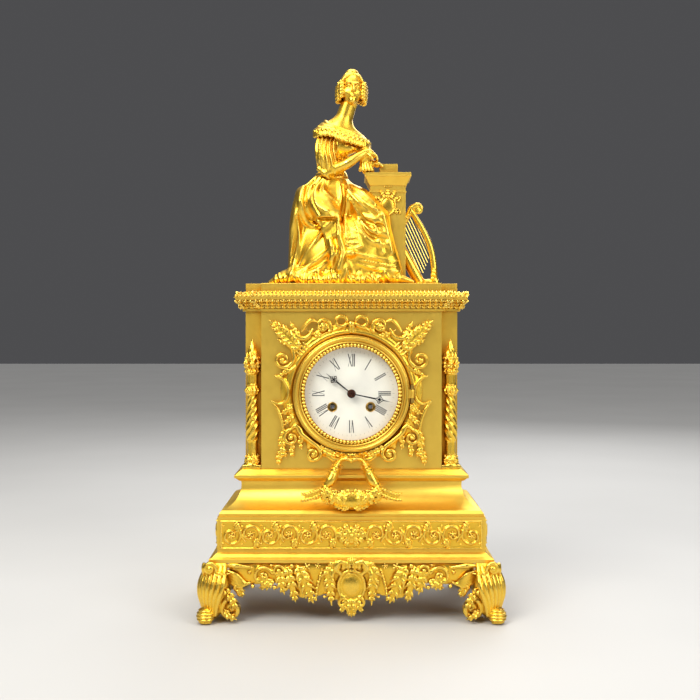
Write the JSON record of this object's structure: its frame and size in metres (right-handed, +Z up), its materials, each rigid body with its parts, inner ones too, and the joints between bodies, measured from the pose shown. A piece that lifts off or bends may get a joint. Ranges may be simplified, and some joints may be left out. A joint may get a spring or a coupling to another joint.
{
  "type": "mantel clock",
  "caption": "Gilt bronze mantel clock: white enamel dial in a scrolled case on scroll feet, with a seated lady, a pedestal and a harp on top, and a pendulum movement inside.",
  "frame": {"origin": "on the table, under the middle of the clock", "axes": "+Z up, -Y towards the viewer of the dial, +X to that viewer's right"},
  "size_m": [0.273, 0.155, 0.5192],
  "materials": {
    "gilt_bronze": "mercury-gilt cast bronze, matt grounds with burnished edges",
    "clock_brass": "machined and grained brass",
    "polished_steel": "turned and polished steel",
    "blued_steel": "heat-blued steel, nearly black",
    "enamel": "white vitreous enamel fired on copper",
    "glass": "clear flat glass",
    "bell_metal": "turned bell metal, bright"
  },
  "bodies": {
    "case": {"foot_front_left": "gilt_bronze", "foot_front_right": "gilt_bronze", "foot_rear_left": "gilt_bronze", "foot_rear_right": "gilt_bronze", "apron_front": "gilt_bronze", "apron_sides": "gilt_bronze", "base_front": "gilt_bronze", "base_back": "gilt_bronze", "base_left": "gilt_bronze", "base_right": "gilt_bronze", "frieze_panels": "gilt_bronze", "case_floor": "gilt_bronze", "case_front": "gilt_bronze", "case_back": "gilt_bronze", "case_left": "gilt_bronze", "case_right": "gilt_bronze", "cornice": "gilt_bronze", "top_slab": "gilt_bronze", "tie_rods": "polished_steel", "torch_column_left": "gilt_bronze", "torch_column_right": "gilt_bronze", "dial_surround": "gilt_bronze", "garland": "gilt_bronze", "figure_dress": "gilt_bronze", "figure_bust": "gilt_bronze", "figure_head": "gilt_bronze", "pedestal": "gilt_bronze", "harp": "gilt_bronze", "front_ring": "clock_brass", "rear_ring": "clock_brass", "movement_straps": "clock_brass", "hinge_pins": "clock_brass", "movement_front_plate": "clock_brass", "movement_back_plate": "clock_brass", "dial": "enamel", "bell": "bell_metal", "bell_stand": "clock_brass", "suspension_cock": "clock_brass"},
    "bezel": {"bezel": "gilt_bronze", "bezel_glass": "glass"},
    "rear_door": {"rear_door": "clock_brass"},
    "minute_arbor": {"centre_wheel": "clock_brass", "minute_hand": "blued_steel"},
    "hour_pipe": {"hour_wheel": "clock_brass", "hour_hand": "blued_steel"},
    "minute_wheel": {"minute_wheel": "clock_brass"},
    "intermediate": {"intermediate_wheel": "clock_brass"},
    "going_barrel": {"going_barrel": "clock_brass"},
    "third": {"third_wheel": "clock_brass"},
    "escape": {"escape_wheel": "clock_brass"},
    "pendulum": {"pendulum_rod": "polished_steel", "pendulum_bob": "clock_brass"},
    "anchor": {"anchor": "polished_steel"},
    "pin_wheel": {"pin_wheel": "clock_brass"},
    "strike_second": {"strike_second_wheel": "clock_brass"},
    "strike_barrel": {"strike_barrel": "clock_brass"},
    "fly": {"fly": "clock_brass"},
    "hammer": {"hammer": "polished_steel"},
    "going_winding": {"going_winding_arbor": "polished_steel"},
    "strike_winding": {"strike_winding_arbor": "polished_steel"}
  },
  "joints": [
    {"name": "bezel_hinge", "type": "hinge", "parent": "case", "child": "bezel", "pos_m": [0.0565, -0.0476, 0.2054], "axis": [0, 0, 1], "range_deg": [0, 110]},
    {"name": "rear_door_hinge", "type": "hinge", "parent": "case", "child": "rear_door", "pos_m": [-0.054, 0.0426, 0.2054], "axis": [0, 0, 1], "range_deg": [0, 110]},
    {"name": "minute_hand_turn", "type": "hinge", "parent": "case", "child": "minute_arbor", "pos_m": [0, -0.02, 0.2054], "axis": [0, 1, 0], "continuous": true},
    {"name": "hour_hand_turn", "type": "hinge", "parent": "case", "child": "hour_pipe", "pos_m": [0, -0.036, 0.2054], "axis": [0, 1, 0], "continuous": true},
    {"name": "minute_wheel_turn", "type": "hinge", "parent": "case", "child": "minute_wheel", "pos_m": [0, -0.034, 0.2138], "axis": [0, 1, 0], "continuous": true},
    {"name": "intermediate_turn", "type": "hinge", "parent": "case", "child": "intermediate", "pos_m": [0.01251, -0.015, 0.21094], "axis": [0, 1, 0], "continuous": true},
    {"name": "going_barrel_turn", "type": "hinge", "parent": "case", "child": "going_barrel", "pos_m": [0.0178, -0.015, 0.1928], "axis": [0, 1, 0], "continuous": true},
    {"name": "third_turn", "type": "hinge", "parent": "case", "child": "third", "pos_m": [-0.00548, -0.015, 0.21715], "axis": [0, 1, 0], "continuous": true},
    {"name": "escape_turn", "type": "hinge", "parent": "case", "child": "escape", "pos_m": [0, -0.015, 0.22614], "axis": [0, 1, 0], "continuous": true},
    {"name": "pendulum_swing", "type": "hinge", "parent": "case", "child": "pendulum", "pos_m": [0, 0.0092, 0.23834], "axis": [0, 1, 0], "range_deg": [-2.5, 2.5]},
    {"name": "anchor_rock", "type": "hinge", "parent": "case", "child": "anchor", "pos_m": [0, -0.01, 0.23834], "axis": [0, 1, 0], "range_deg": [-2.5, 2.5]},
    {"name": "pin_wheel_turn", "type": "hinge", "parent": "case", "child": "pin_wheel", "pos_m": [-0.02276, -0.015, 0.22123], "axis": [0, 1, 0], "continuous": true},
    {"name": "strike_second_turn", "type": "hinge", "parent": "case", "child": "strike_second", "pos_m": [-0.02579, -0.015, 0.20993], "axis": [0, 1, 0], "continuous": true},
    {"name": "strike_barrel_turn", "type": "hinge", "parent": "case", "child": "strike_barrel", "pos_m": [-0.0178, -0.015, 0.1928], "axis": [0, 1, 0], "continuous": true},
    {"name": "fly_turn", "type": "hinge", "parent": "case", "child": "fly", "pos_m": [-0.01673, -0.015, 0.22842], "axis": [0, 1, 0], "continuous": true},
    {"name": "hammer_swing", "type": "hinge", "parent": "case", "child": "hammer", "pos_m": [-0.037, 0, 0.1974], "axis": [0, 1, 0], "range_deg": [-12, 0], "stiffness_Nm_per_rad": 0.01, "springref_deg": 2.86},
    {"name": "going_winding", "type": "hinge", "parent": "case", "child": "going_winding", "pos_m": [0.0178, -0.036, 0.1928], "axis": [0, 1, 0], "continuous": true},
    {"name": "strike_winding", "type": "hinge", "parent": "case", "child": "strike_winding", "pos_m": [-0.0178, -0.036, 0.1928], "axis": [0, 1, 0], "continuous": true}
  ],
  "couplings": [
    {"joint": "hour_hand_turn", "follows": "minute_hand_turn", "ratio": 0.083333},
    {"joint": "minute_wheel_turn", "follows": "minute_hand_turn", "ratio": -0.33333},
    {"joint": "intermediate_turn", "follows": "minute_hand_turn", "ratio": -0.15152},
    {"joint": "going_barrel_turn", "follows": "minute_hand_turn", "ratio": 0.018939},
    {"joint": "third_turn", "follows": "minute_hand_turn", "ratio": -12},
    {"joint": "escape_turn", "follows": "minute_hand_turn", "ratio": 150},
    {"joint": "strike_second_turn", "follows": "pin_wheel_turn", "ratio": -0.11429},
    {"joint": "strike_barrel_turn", "follows": "pin_wheel_turn", "ratio": 0.014286},
    {"joint": "fly_turn", "follows": "pin_wheel_turn", "ratio": -8.5714},
    {"joint": "anchor_rock", "follows": "pendulum_swing", "ratio": 1}
  ]
}
